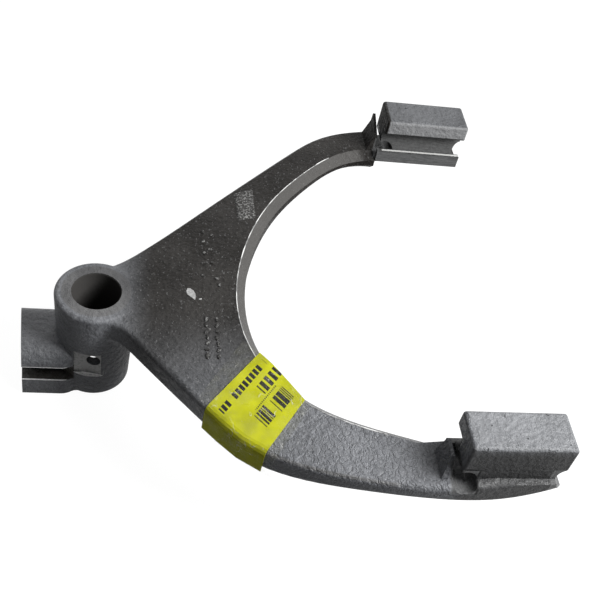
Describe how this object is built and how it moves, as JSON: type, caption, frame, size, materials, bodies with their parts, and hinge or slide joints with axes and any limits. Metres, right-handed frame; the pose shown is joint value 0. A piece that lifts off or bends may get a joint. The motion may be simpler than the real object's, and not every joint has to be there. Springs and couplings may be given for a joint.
{
  "type": "shift fork",
  "caption": "Forged gearbox shift fork with a bored rail hub, a slotted selector lug, a rising web, long curved arms and grooved pads, with a plain yellow label under clear tape.",
  "frame": {"origin": "on the rail bore's axis at the machined top face of the hub", "axes": "+Z along the rail bore out of the hub's top face, +X from the rail towards the pads, +Y towards the arm without the label"},
  "size_m": [0.201, 0.2064, 0.0866],
  "materials": {
    "forged_steel": "rough forged skin, dark grey, with bright milled faces",
    "label_paper": "matt yellow paper",
    "tape_film": "clear glossy film"
  },
  "bodies": {
    "root": {"fork": "forged_steel", "yellow_label": "label_paper", "clear_tape": "tape_film"}
  },
  "joints": []
}
